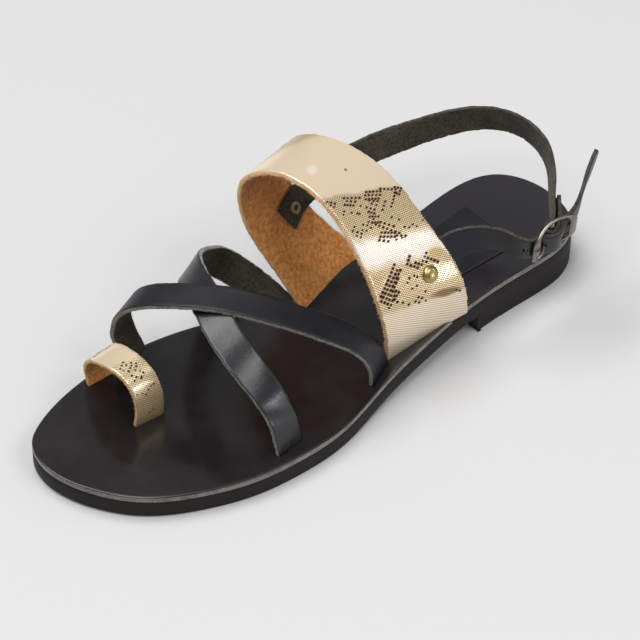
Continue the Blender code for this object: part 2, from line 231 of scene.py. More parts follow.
# Dark marks of the print, charted in rows: across and along of the first and the last, count
BAND_FIGURE = [
    (-17.8, 46.2, -5.7, 52.5, 9), (-18.5, 44.6, -5.8, 50, 9), (-17.2, 43.2, -4.4, 49.2, 9),
    (-16, 41.8, -7.2, 47.2, 7), (-14.6, 40.4, -10.3, 43.7, 4), (-12.3, 41.3, -9.2, 42.5, 3),
    (-16, 40, -16, 40, 1), (-11.3, 39.5, -9, 37.5, 2), (-6.6, 34.8, -6.6, 34.8, 1),
    (0, 49.2, 2.9, 50.9, 3), (1.2, 47.8, 3.7, 45.1, 3), (3.9, 47.3, 6.1, 44.9, 3),
    (7.6, 45.7, 8.8, 44.4, 2), (9.4, 46.6, 10.9, 47.3, 2), (10.3, 45.2, 13.4, 41.2, 4),
    (-3.6, 43.1, -2, 44.1, 2), (0.7, 43.5, 1.6, 42.2, 2), (-2.7, 39.6, -0.2, 39.2, 2),
    (-3.3, 33.8, -1.4, 34.4, 2), (-1.8, 32.1, 0, 32.9, 2), (2.6, 34.5, 2.6, 34.5, 1),
    (1.3, 30.5, 1.3, 30.5, 1), (15.8, 25.3, 17.2, 23.8, 2), (-19.3, 89.3, -19.3, 89.3, 1),
    (-19, 87.6, -16.3, 85.4, 3), (-18.8, 85.8, -17.7, 84.5, 2), (-10.3, 84.8, -3.2, 81.2, 5),
    (-12.3, 82.6, -8.6, 80.4, 4), (-10, 83.2, -6.5, 81.1, 3), (-16.2, 80, -14.8, 80.8, 2),
    (-11.8, 78.6, -11.8, 78.6, 1), (-5.3, 78.5, -5.3, 78.5, 1), (-9.3, 77, -8.5, 76.3, 2),
    (1.9, 81.3, 8.5, 78.2, 5), (0.3, 80.6, 7, 77.2, 5), (-0.8, 79.3, 5.2, 76.4, 5),
    (0.4, 78, 4, 75.9, 3), (0.4, 76.5, 2.2, 75, 2), (-3, 76.6, -0.2, 74.1, 3),
    (-3.6, 74.8, -1.5, 73, 3), (-4.7, 73.1, -0.5, 71.1, 4), (-6.6, 71.8, -3.5, 71.4, 2),
    (-5.2, 70.7, -1.2, 68.8, 4), (0.3, 67.5, 3.6, 64.4, 3), (-4, 69.2, -4, 69.2, 1),
    (-2.8, 68, 4.4, 60.9, 6), (-10, 72.2, -8.2, 71, 2), (-12, 70.8, -10.2, 69.6, 2),
    (-7.2, 69.4, -7.2, 69.4, 1), (-14.8, 73.6, -16.7, 72.8, 2), (-14.9, 71.3, -13.3, 69.9, 2),
    (-16, 70.3, -14.4, 69, 2), (3.4, 72.1, 7.2, 74, 3), (8.4, 71, 15, 74.3, 5),
    (9.4, 78.9, 16.2, 75.1, 5), (14.6, 74.4, 16.2, 72.8, 3), (16.5, 76, 19, 74.2, 3),
    (17.6, 73.6, 17.6, 73.6, 1), (5.3, 67.6, 5.3, 67.6, 1), (8, 65.1, 8, 65.1, 1),
    (8.5, 61.5, 10.4, 60, 2), (12.8, 60, 14.1, 58.4, 2), (18.4, 58.6, 19.2, 59.6, 2),
    (-3.5, 65.4, 2.5, 62, 5), (-5.2, 64.4, 1.5, 60.9, 5), (-6.6, 63.6, -2.8, 61.1, 3),
    (2.7, 60.7, 6.4, 58.4, 3), (1.4, 59.6, 4.4, 58.7, 2), (-17, 137.5, -12.3, 139.7, 4),
    (-8, 136.5, -4.9, 138, 3), (-3, 137.5, 0.1, 139, 3), (-18, 131, -14.9, 132.5, 3),
    (-13.5, 132, -12.2, 130.6, 2), (-10, 133, -8.4, 133.7, 2), (4, 126, 5.6, 126.7, 2),
    (-5, 134, -5, 134, 1),
]
LOOP_FIGURE = [
    (-4, 34.8, -0.9, 36.3, 3), (-3.6, 33.6, -2.3, 32.2, 2), (-0.9, 34.6, 1.7, 31.9, 3),
    (1.2, 34.2, 2.5, 32.8, 2), (-2.4, 32, -0.8, 32.7, 2), (-2.7, 30.2, -0.1, 27.5, 3),
    (0.2, 31, 1.5, 29.6, 2), (-3.1, 28.2, -1.5, 28.9, 2), (0.5, 27.8, 2.1, 28.5, 2),
    (-2.6, 22.3, -1.3, 20.9, 2), (0.4, 21.9, 2, 22.6, 2), (3.6, 22.6, 3.6, 22.6, 1),
    (-5, 23.4, -5, 23.4, 1), (-0.6, 10.8, 1, 11.5, 2), (-4.6, 50, -1.5, 51.5, 3),
    (-1, 54, 1.6, 51.3, 3), (2, 51, 3.6, 51.7, 2),
]

# Camera: place and aim in metres in the parts' frame, roll, lens for a 36 mm wide picture
CAMERA_AT = (0.7029, 0.8798, 1.0816)
CAMERA_AIM = (0.0, 0.0028, 0.024)
CAMERA_ROLL = 0.7
CAMERA_LENS = 219.4
SENSOR = 36.0
CLIP_START = 0.05

# Lights: name, place and aim in metres, width, height, watts and colour
LIGHTS = [
    ("key", (0.25, -0.55, 1.9), (0, 0, 0), 1.3, 1.3, 30.5, (1, 1, 1)),
    ("side", (-0.28, 0.97, 1.25), (0, 0, 0.05), 0.8, 0.5, 6.5, (1, 1, 1)),
    ("strip", (-1.19, 0.77, 0.49), (0, 0, 0.05), 0.22, 0.7, 1.35, (1, 1, 1)),
    ("low", (-0.72, 1.29, 0.155), (0, 0.05, 0.06), 0.26, 0.22, 2.6, (0.95, 0.92, 1.0)),
    ("front", (0.75, 0.5, 1.55), (0, -0.02, 0.04), 0.6, 0.45, 9.0, (1, 1, 1)),
]
SKY_COLOUR = (1.0, 0.99, 0.98, 1)
SKY_STRENGTH = 0.3
FLOOR_SIZE = 8
FLOOR_COLOUR = (0.572, 0.57, 0.573)

# About a full turn, for random phases, and the usual spread of noise values
ROUND = 6.28
NOISE = (0.3, 0.7)

low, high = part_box("heel_label")
SHIFT = np.array([(low.x + high.x) * 500 - (LABEL[0] + LABEL[1]) / 2, (low.y + high.y) * 500, 0.0])


def unit(a):
    """Scale rows of directions to length one."""
    return a / np.linalg.norm(a, axis=-1, keepdims=True)


def natural(u, p, t):
    """Natural cubic through rows p placed at u, read at t."""
    n = len(p)
    h = np.diff(u)
    m = np.zeros((n, n))
    r = np.zeros_like(p)
    m[0, 0] = m[-1, -1] = 1
    for i in range(1, n - 1):
        m[i, i - 1:i + 2] = h[i - 1], 2 * (h[i - 1] + h[i]), h[i]
        r[i] = 6 * ((p[i + 1] - p[i]) / h[i] - (p[i] - p[i - 1]) / h[i - 1])
    c = np.linalg.solve(m, r)
    k = np.clip(np.searchsorted(u, t) - 1, 0, n - 2)
    a = ((u[k + 1] - t) / h[k])[:, None]
    b = ((t - u[k]) / h[k])[:, None]
    bend = ((a ** 3 - a) * c[k] + (b ** 3 - b) * c[k + 1]) * (h[k] ** 2)[:, None] / 6
    return a * p[k] + b * p[k + 1] + bend


def length_along(mid):
    """Running length of a line."""
    return np.concatenate([[0], np.cumsum(np.linalg.norm(np.diff(mid, axis=0), axis=1))])


def spline(rows, count):
    """Evenly read points of a smooth line through table rows."""
    p = np.asarray(rows, float)
    u = length_along(p[:, :3])
    return natural(u, p, np.linspace(0, u[-1], count))


def line_of(rows, step):
    """Middle line and roll of a table, read about every step millimetres of true length."""
    q = spline(rows, 2000)
    s = length_along(q[:, :3])
    t = np.linspace(0, s[-1], max(int(round(s[-1] / step)), 2) + 1)
    q = np.stack([np.interp(t, s, q[:, k]) for k in range(q.shape[1])], 1)
    return q[:, :3], np.radians(q[:, 3])


def sole_top(x):
    """Height of the insole's upper face."""
    s = np.clip((x - RAMP_REAR) / (RAMP_FRONT - RAMP_REAR), 0, 1)
    drop = (HEEL_TOP - BALL_TOP) * s * s * (3 - 2 * s)
    rise = TOE_SPRING * (np.maximum(x - SPRING_START, 0) / (LENGTH - SPRING_START)) ** 2
    return HEEL_TOP - drop + rise


def sole_sides(x):
    """Inner and outer edge of the sole at each station."""
    t = np.asarray(OUTLINE, float)
    turn = np.arccos(1 - 2 * t[:, 0] / LENGTH)
    return natural(turn, t[:, 1:], np.arccos(np.clip(1 - 2 * x / LENGTH, -1, 1)))


def at_buckle(fore, out, up):
    """A point given in the buckle's own directions."""
    return BUCKLE_AT + FORE * fore + OUT * out + UP * up


def lean(mid):
    """Downward direction of the heel straps, tilted with the buckle near it."""
    near = np.clip(1.5 - np.linalg.norm(mid - BUCKLE_AT, axis=1) / 20, 0, 1)[:, None]
    return -(UPRIGHT * (1 - near) + UP * near)


def strip_frame(mid, roll, toward):
    """Across and outward directions along a strap's middle line."""
    tan = unit(np.gradient(mid, axis=0))
    toward = np.broadcast_to(toward, mid.shape)
    r = unit(toward - tan * (tan * toward).sum(1, keepdims=True))
    b = np.cross(tan, r)
    across = r * np.cos(roll)[:, None] + b * np.sin(roll)[:, None]
    return across, np.cross(across, tan)


def wobble(t, seed, wave, octaves=4):
    """Smooth unevenness along a length, about plus or minus one."""
    r = np.random.default_rng(seed)
    total = 0.0
    for k in range(octaves):
        total = total + 0.65 ** k * np.sin(t * 2 * math.pi / wave * 1.83 ** k + r.uniform(0, ROUND))
    return total / 1.5


def ripple(s, a, seed, wave, count=7):
    """Smooth unevenness over a sheet, about plus or minus one."""
    r = np.random.default_rng(seed)
    total = 0.0
    for _ in range(count):
        turn = r.uniform(0, ROUND)
        size = 2 * math.pi / (wave * r.uniform(0.6, 1.6))
        total = total + np.sin((s * math.cos(turn) + a * math.sin(turn)) * size + r.uniform(0, ROUND))
    return total / math.sqrt(count)


def bell(x, middle, width):
    """Soft bump of height one."""
    return np.exp(-((x - middle) / width) ** 2)


def make(name, verts, faces, looks, picks=None, strip=None, smooth=180, rides=True):
    """Mesh piece in the parts' frame from millimetre points, with looks by face and places on a strap."""
    mesh = bpy.data.meshes.new(name)
    mesh.from_pydata(((np.asarray(verts) + SHIFT) * 0.001).tolist(), [], faces)
    for look in looks:
        mesh.materials.append(look)
    if picks is not None:
        mesh.polygons.foreach_set("material_index", np.asarray(picks, np.int32))
    if strip is not None:
        layer = mesh.attributes.new("strip", "FLOAT_VECTOR", "POINT")
        layer.data.foreach_set("vector", np.asarray(strip, np.float32).ravel())
    bm = bmesh.new()
    bm.from_mesh(mesh)
    bmesh.ops.recalc_face_normals(bm, faces=bm.faces)
    bm.to_mesh(mesh)
    bm.free()
    ob = bpy.data.objects.new(name, mesh)
    bpy.context.scene.collection.objects.link(ob)
    finish_shading(ob, smooth)
    if rides:
        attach(ob, "root")
    return ob


def finish_shading(ob, angle):
    """Smooth shading with edges kept sharp past an angle."""
    ob.data.shade_smooth()
    if angle < 180:
        ob.data.set_sharp_from_angle(angle=math.radians(angle))


def grid_faces(n, m, closed=False):
    """Quads over n rings of m points, from the last ring back to the first if closed."""
    i = np.arange(n if closed else n - 1)
    j = np.arange(m)
    a = (i[:, None] * m + j[None]).ravel()
    b = (i[:, None] * m + (j[None] + 1) % m).ravel()
    c = (((i[:, None] + 1) % n) * m + (j[None] + 1) % m).ravel()
    d = (((i[:, None] + 1) % n) * m + j[None]).ravel()
    return np.stack([a, b, c, d], 1).tolist()


def tube_faces(n, m):
    """Quads over n rings of m points, with a face over each end."""
    return grid_faces(n, m) + [list(range(m)), list(range((n - 1) * m, n * m))]


def trim_below(ob, x, y, slope_x):
    """Cut a strap off under the insole's upper face at one end."""
    mesh = ob.data
    bm = bmesh.new()
    bm.from_mesh(mesh)
    point = (np.array([x, y, float(sole_top(np.array([x]))[0]) - END_DEPTH]) + SHIFT) * 0.001
    whole = bm.verts[:] + bm.edges[:] + bm.faces[:]
    upward = unit(np.array([-slope_x, 0, 1.0]))
    cut = bmesh.ops.bisect_plane(bm, geom=whole, plane_co=point, plane_no=upward, clear_inner=True)
    edges = [e for e in cut["geom_cut"] if isinstance(e, bmesh.types.BMEdge)]
    bmesh.ops.holes_fill(bm, edges=edges, sides=0)
    bm.to_mesh(mesh)
    bm.free()


def cut_out(ob, tool):
    """Take a tool's volume out of a piece."""
    mod = ob.modifiers.new("cut", "BOOLEAN")
    mod.operation = "DIFFERENCE"
    mod.solver = "EXACT"
    mod.object = tool
    bpy.context.view_layer.objects.active = ob
    bpy.ops.object.modifier_apply(modifier=mod.name)
    bpy.data.objects.remove(tool, do_unlink=True)


class Sheet:
    """A strap's surface: points at a length along, a distance across and a height over the middle layer."""

    def __init__(self, mid, roll, toward, width, thick, lift=None, rear=None):
        self.mid = mid
        self.s = length_along(mid)
        self.across, self.out = strip_frame(mid, roll, toward)
        self.half = width / 2
        self.thick = thick
        self.lift = lift or (lambda s, a: 0.0 * (s + a))
        self.rear = np.array(rear or [(0, width / 2), (1, width / 2)], float)

    def far(self, s):
        """Reach from the middle line to the rear edge."""
        return np.interp(s, *self.rear.T)

    def at(self, s, a, h):
        """Points in millimetres."""
        s, a, h = np.broadcast_arrays(s, a, h)
        mid, across, out = (
            np.stack([np.interp(s, self.s, rows[:, k]) for k in range(3)], -1)
            for rows in (self.mid, self.across, self.out))
        return mid + unit(across) * a[..., None] + unit(out) * (h + self.lift(s, a))[..., None]


def strap(name, sheet, looks, cols, seed, ragged, fuzz, face=1, tip=0.0):
    """Leather strap with an outer face, cut edges and a flesh side; face -1 turns the flesh side out."""
    s = sheet.s
    thick = sheet.thick
    taper = 1.0
    if tip:
        taper = np.sqrt(np.clip(1 - np.maximum(1 - (s[-1] - s) / tip, 0) ** 2, 0.3, 1))
    rng = np.random.default_rng(seed)
    front, rear = (
        reach * taper + ragged * wobble(s, chance, EDGE_WAVE) + fuzz * 0.5 * rng.uniform(-1, 1, len(s))
        for reach, chance in ((sheet.half, seed), (sheet.far(s), seed + 50)))
    soft = min(0.35, thick * 0.22)
    t = thick / 2
    f = np.linspace(-1, 1, cols + 1)
    turn = [(0.7, t - 0.3 * soft), (1.0, t - soft), (1.05, 0.0), (1.0, soft - t), (0.7, 0.3 * soft - t)]
    section = [(k, 0.0, t) for k in f]
    section += [(1.0, soft * e, h) for e, h in turn]
    section += [(k, 0.0, -t) for k in f[::-1]]
    section += [(-1.0, soft * e, h) for e, h in turn[::-1]]
    grain, flesh = (0, 2) if face > 0 else (2, 0)
    raw = [grain] * 2 * (face > 0) + [1] * 4 + [flesh] * 2 * (face < 0)
    kinds = [grain] * cols + raw + [flesh] * cols + raw[::-1]
    side, extra, height = np.array(section).T
    reach = np.where(side[None] > 0, rear[:, None], front[:, None]) - soft
    a = side[None] * reach + np.sign(side)[None] * extra[None]
    loose = (height[None] * face < -t * 0.4) & (np.abs(side)[None] > 0.99)
    a = a + np.sign(side)[None] * loose * fuzz * rng.uniform(-0.5, 1.6, a.shape)
    h = np.broadcast_to(height[None], a.shape)
    along = np.broadcast_to(s[:, None], a.shape)
    points = sheet.at(along, a, h)
    n, m = a.shape
    picks = kinds * (n - 1) + [1, 1]
    return make(name, points.reshape(-1, 3), tube_faces(n, m), looks, picks, np.stack([along, a, h], -1))


def marks(name, sheet, height, spots, size, look, seed):
    """Small printed diamonds on a strap's face at (across, along) spots, flatter past the lower bend."""
    rng = np.random.default_rng(seed)
    k = size * rng.uniform(0.88, 1.1, (len(spots), 1, 1))
    flat = np.clip((spots[:, 1] - FLATTEN_FROM) / FLATTEN_OVER, 0, 1)[:, None]
    fall = STEP_FALL * (1 - flat) + STEP_FLAT * flat
    rise = np.broadcast_to(STEP_RISE, fall.shape)
    corner = np.stack([rise + fall, rise - fall, -rise - fall, fall - rise], 1)
    after = np.roll(corner, -1, 1)
    most, least = MARK_SHARES
    pair = [most * corner + least * after, least * corner + most * after]
    ring = np.stack(pair, 2).reshape(len(spots), 8, 2)
    at = spots[:, None] + ring * k
    layers = [sheet.at(at[..., 1], at[..., 0], sheet.thick / 2 + h) for h in (height, -MARK_SUNK)]
    faces = []
    for first in range(0, len(spots) * 16, 16):
        faces += [[first + i for i in range(8)], [first + 15 - i for i in range(8)]]
        faces += [[first + i, first + 8 + i, first + 8 + (i + 1) % 8, first + (i + 1) % 8] for i in range(8)]
    return make(name, np.stack(layers, 1).reshape(-1, 3), faces, [look], smooth=30)


def charted(figure, sheet, least=1):
    """Spots of the charted rows of at least so many marks that lie on the strap."""
    rows = [row for row in figure if row[4] >= least]
    spots = np.concatenate([np.linspace(row[:2], row[2:4], row[4]) for row in rows])
    a, s = spots.T
    inside = (a > EDGE_CLEAR - sheet.half) & (a < sheet.far(s) - EDGE_CLEAR)
    return spots[inside & (s > 0) & (s < sheet.s[-1] - END_CLEAR)]


def fibres(name, roots, ways, long, look, seed, thick):
    """Short loose fibres as bent three-sided spikes standing on roots."""
    rng = np.random.default_rng(seed)
    n = len(roots)
    ways = unit(ways + rng.normal(0, 0.45, (n, 3)))
    side = unit(np.cross(ways, rng.normal(0, 1, (n, 3)))) * thick
    other = unit(np.cross(ways, side)) * thick
    section = np.stack([side, 0.87 * other - 0.5 * side, -0.87 * other - 0.5 * side], 1)
    bend = unit(rng.normal(0, 1, (n, 3)))
    long = long * rng.uniform(0.35, 1.0, (n, 1)) ** 1.5
    middle = roots + ways * long * 0.55 + bend * long * 0.1
    tip = roots + ways * long + bend * long * 0.4
    points = np.concatenate([roots[:, None] + section, middle[:, None] + section * 0.7, tip[:, None]], 1)
    spike = [[2, 1, 0], [0, 1, 4, 3], [1, 2, 5, 4], [2, 0, 3, 5], [3, 4, 6], [4, 5, 6], [5, 3, 6]]
    faces = [[first + i for i in face] for first in range(0, 7 * n, 7) for face in spike]
    return make(name, points.reshape(-1, 3), faces, [look])


def edge_fibres(name, sheet, face, per_mm, long, look, seed, span, thick=FIBRE_THICK):
    """Fibres along both cut edges of a strap, thicker toward its flesh side."""
    rng = np.random.default_rng(seed)
    total = sheet.s[-1]
    n = int(total * (span[1] - span[0]) * per_mm * 2)
    s = rng.uniform(span[0] * total, span[1] * total, n)
    side = rng.choice([-1.0, 1.0], n)
    h = -face * sheet.thick / 2 * (1 - 1.6 * rng.uniform(0, 1, n) ** 2)
    reach = np.where(side > 0, sheet.far(s), sheet.half)
    roots = sheet.at(s, side * (reach - 0.05), h)
    ways = sheet.at(s, side * (reach + 1), h - face * 0.5) - roots
    return fibres(name, roots, ways, long, look, seed, thick)


def slot_tool(rows, width, thick, rear=None):
    """Room for a strap's end, to be taken out of the insole."""
    sheet = Sheet(*line_of(rows, SLOT_STEP), HEELWARD, width, thick, None, rear)
    near, far = -sheet.half - GAP, sheet.far(sheet.s) + GAP
    deep = thick / 2 + GAP
    section = ((near, deep), (far, deep), (far, -deep), (near, -deep))
    rings = np.stack([sheet.at(sheet.s, a, h) for a, h in section], 1)
    return make("slot_tool", rings.reshape(-1, 3), tube_faces(len(rings), 4), [], rides=False)


def sole_loop(last, count=150):
    """Plan of the sole up to a station, outer side first, with outward directions and the stations' count."""
    end = math.acos(1 - 2 * last / LENGTH)
    x = LENGTH * (1 - np.cos(np.linspace(0, end, count + 1))) / 2
    sides = sole_sides(x)
    whole = last > LENGTH - 1e-6
    outer = np.stack([x, sides[:, 1]], 1)
    inner = np.stack([x, sides[:, 0]], 1)[::-1]
    loop = np.concatenate([outer, inner[1 if whole else 0:-1]])
    step = np.roll(loop, -1, 0) - np.roll(loop, 1, 0)
    inward = unit(np.stack([step[:, 1], -step[:, 0]], 1))
    return loop, -inward, count


def sole_piece(name, levels, looks, last=LENGTH):
    """Solid over the sole's plan from rows of (inset, height as a function of x, look)."""
    loop, away, count = sole_loop(last)
    rings = []
    for inset, height, _ in levels:
        xy = loop - away * (inset(loop[:, :1]) if callable(inset) else inset)
        rings.append(np.column_stack([xy, height(xy[:, 0])]))
    n, m = len(rings), len(loop)
    faces = grid_faces(n, m)
    picks = [levels[i][2] for i in range(n - 1) for _ in range(m)]
    for ring, look in ((0, levels[0][2]), (n - 1, levels[-1][2])):
        base = ring * m
        for k in range(count):
            quad = [base + k, base + k + 1, base + (m - k - 1) % m, base + (m - k) % m]
            quad = list(dict.fromkeys(quad))
            if len(quad) > 2:
                faces.append(quad)
                picks.append(look)
    return make(name, np.concatenate(rings), faces, looks, picks)


def turned(name, base, axis, profile, sides, looks, smooth=180, rides=True):
    """Solid of revolution from (radius, height) rows along an axis."""
    axis = unit(np.asarray(axis, float))
    side = unit(np.cross(axis, [0.3, 0.2, 0.9]))
    other = np.cross(axis, side)
    a = np.arange(sides) * 2 * math.pi / sides
    ring = side[None] * np.cos(a)[:, None] + other[None] * np.sin(a)[:, None]
    rings = np.stack([base + axis * h + ring * r for r, h in profile])
    return make(name, rings.reshape(-1, 3), tube_faces(len(rings), sides), looks, None, None, smooth, rides)


def sweep(name, path, half_wide, half_thick, wide, closed, looks, sides=16):
    """Bar with an oval section along a path; wide gives the direction of its width."""
    path = np.asarray(path, float)
    n = len(path)
    step = np.roll(path, -1, 0) - np.roll(path, 1, 0) if closed else np.gradient(path, axis=0)
    tan = unit(step)
    wide = np.broadcast_to(wide, path.shape)
    wide = unit(wide - tan * (wide * tan).sum(1, keepdims=True))
    thick = np.cross(tan, wide)
    a = np.arange(sides) * 2 * math.pi / sides
    c = np.sign(np.cos(a)) * np.abs(np.cos(a)) ** 0.7
    d = np.sign(np.sin(a)) * np.abs(np.sin(a)) ** 0.7
    hw = np.broadcast_to(half_wide, n)[:, None, None]
    ht = np.broadcast_to(half_thick, n)[:, None, None]
    rings = path[:, None] + wide[:, None] * c[None, :, None] * hw + thick[:, None] * d[None, :, None] * ht
    faces = grid_faces(n, sides, True) if closed else tube_faces(n, sides)
    return make(name, rings.reshape(-1, 3), faces, looks)


def softbox(name, at, aim, wide, high, power, colour):
    """Rectangular soft light."""
    data = bpy.data.lights.new(name, "AREA")
    data.shape = "RECTANGLE"
    data.size = wide
    data.size_y = high
    data.energy = power
    data.color = colour
    lamp = bpy.data.objects.new(name, data)
    lamp.location = at
    lamp.rotation_euler = (Vector(aim) - Vector(at)).to_track_quat("-Z", "Y").to_euler()
    bpy.context.scene.collection.objects.link(lamp)


def outsole_top(x):
    """Height of the outsole's upper face."""
    return sole_top(x) - INSOLE_THICK - GAP


def outsole_base(x):
    """Height of the outsole's lower face."""
    return outsole_top(x) - OUTSOLE_THICK


def insole_base(x):
    """Height of the insole's lower face."""
    return sole_top(x) - INSOLE_THICK


def rounding(x):
    """Share of the outsole's lower rounding, which fades out over the heel block."""
    return np.clip((x - HEEL_BREAST) / 4, 0.05, 1)


def moved(height, by):
    """A height function moved up by so much."""
    return lambda x: height(x) + by


def level(height):
    """A height function that is the same all over."""
    return lambda x: np.full_like(x, height)


def band_lift(s, a):
    """Soft waves, the pull of the outer rivet, a fold below it, creases at the lower bend and the crest."""
    fold = 0.25 * bell(s + 0.445 * a, 34, 5.5) * (1 + np.tanh((a - 9) / 4))
    pull = -0.5 * np.exp(-((s - 40) ** 2 + (a - 8) ** 2) / 60)
    low_bend = 0.35 * bell(s + 0.36 * a, 47, 5) - 0.35 * bell(s + 0.36 * a, 30, 6)
    crest = 0.3 * bell(s + 0.3 * a, 84, 8)
    return 0.18 * ripple(s, a, 4, 45) + pull + fold + low_bend + crest


def over_lift(s, a):
    """Soft waves and a crease where the upper crossing strap bends above its inner foot."""
    return 0.12 * ripple(s, a, 6, 30) - 0.35 * bell(s - 0.5 * a, 24, 4) + 0.3 * bell(s - 0.5 * a, 31, 4)


def under_lift(s, a):
    """Soft waves and creases of the lower crossing strap above its outer foot and beside the crossing."""
    foot = -0.35 * bell(s + 0.4 * a, 24, 3.5) + 0.35 * bell(s + 0.4 * a, 16, 4)
    return 0.14 * ripple(s, a, 8, 26) + foot - 0.3 * bell(s - 0.3 * a, 58, 5)


class Look:
    """A material and short ways to add nodes to it."""

    def __init__(self, name, colour, rough, metal=0.0, **more):
        self.mat = bpy.data.materials.new(name)
        self.mat.use_nodes = True
        self.tree = self.mat.node_tree
        self.shader = self.tree.nodes["Principled BSDF"]
        self.put("Base Color", (*colour, 1))
        self.put("Roughness", rough)
        self.put("Metallic", metal)
        for key, value in more.items():
            self.put(key.replace("_", " "), value)

    def put(self, key, value):
        """Set a shader input to a value or a node's output."""
        self.join(self.shader.inputs[key], value)

    def join(self, socket, value):
        """Set or link one socket."""
        if isinstance(value, bpy.types.NodeSocket):
            self.tree.links.new(value, socket)
        else:
            socket.default_value = value

    def node(self, kind, inputs=(), out=0, **props):
        """Add a node with inputs by name or number and give one of its outputs."""
        n = self.tree.nodes.new("ShaderNode" + kind)
        for key, value in props.items():
            setattr(n, key, value)
        for key, value in dict(inputs).items():
            self.join(n.inputs[key], value)
        return n.outputs[out]

    def place(self):
        """The piece's own coordinates in metres."""
        return self.node("TexCoord", out="Object")

    def strip(self):
        """Length, distance across and height on a strap, millimetres."""
        return self.node("Attribute", attribute_name="strip", out="Vector")

    def split(self, vector):
        """The three values of a vector."""
        n = self.tree.nodes.new("ShaderNodeSeparateXYZ")
        self.join(n.inputs[0], vector)
        return n.outputs

    def noise(self, where, scale, detail=3.0, rough=0.55):
        """Noise value."""
        return self.node("TexNoise", {"Vector": where, "Scale": scale, "Detail": detail, "Roughness": rough})

    def math(self, how, a, b=0.0, c=0.0):
        """One arithmetic step."""
        return self.node("Math", {0: a, 1: b, 2: c}, operation=how)

    def span(self, value, a, b, c, d):
        """Carry a value from a..b to c..d."""
        return self.node("MapRange", {"Value": value, "From Min": a, "From Max": b, "To Min": c, "To Max": d})

    def blend(self, share, first, second):
        """Mix of two colours."""
        n = self.tree.nodes.new("ShaderNodeMix")
        n.data_type = "RGBA"
        for key, value in (("Factor", share), ("A", first), ("B", second)):
            kind = "VALUE" if key == "Factor" else "RGBA"
            socket = [i for i in n.inputs if i.name == key and i.type == kind][0]
            self.join(socket, value if isinstance(value, (float, bpy.types.NodeSocket)) else (*value, 1))
        return [o for o in n.outputs if o.type == "RGBA"][0]

    def ramp(self, value, stops):
        """Colours along a value, from rows of (value, colour)."""
        low, high = stops[0][0], stops[-1][0]
        n = self.tree.nodes.new("ShaderNodeValToRGB")
        while len(n.color_ramp.elements) < len(stops):
            n.color_ramp.elements.new(0.5)
        for element, (at, colour) in zip(n.color_ramp.elements, stops):
            element.position = (at - low) / (high - low)
            element.color = (*colour, 1)
        self.join(n.inputs[0], self.span(value, low, high, 0.0, 1.0))
        return n.outputs[0]

    def bump(self, height, strength, distance):
        """Surface relief."""
        self.put("Normal", self.node("Bump", {"Height": height, "Strength": strength, "Distance": distance}))


def smooth_leather(name, colour, rough, grain, spec, rear=None):
    """Finished leather with fine grain and uneven gloss; rear is its colour toward the heel."""
    look = Look(name, colour, rough, Specular_IOR_Level=spec)
    at = look.place()
    cloud = look.noise(at, 60.0, 4.0)
    pores = look.node("TexVoronoi", {"Vector": at, "Scale": 900.0}, out="Distance")
    fine = look.noise(at, 2200.0, 2.0)
    look.put("Roughness", look.span(cloud, *NOISE, rough - 0.06, rough + 0.08))
    look.bump(look.math("ADD", pores, look.math("MULTIPLY", fine, 0.6)), grain, 0.0002)
    worn = look.blend(look.span(cloud, 0.35, 0.7, 0.0, 1.0), colour, tuple(c * 1.4 for c in colour))
    if rear:
        worn = look.blend(look.span(look.split(at)[0], -0.045, 0.02, 1.0, 0.0), worn, rear)
    look.put("Base Color", worn)
    return look.mat


def raw_leather(name, dark, pale, scale, relief, sheen=0.3, deep=0.0006, patchy=0.3):
    """Cut edge or flesh side with loose fibres."""
    look = Look(name, dark, 0.92, Sheen_Weight=sheen, Sheen_Roughness=0.5, Specular_IOR_Level=0.2)
    at = look.place()
    fibre = look.noise(at, scale, 5.0, 0.7)
    patch = look.noise(at, scale * 0.12, 3.0)
    both = look.math("MULTIPLY_ADD", fibre, 1 - patchy, look.math("MULTIPLY", patch, patchy))
    look.put("Base Color", look.blend(look.span(both, 0.38, 0.62, 0.0, 1.0), dark, pale))
    look.bump(fibre, relief, deep)
    return look.mat


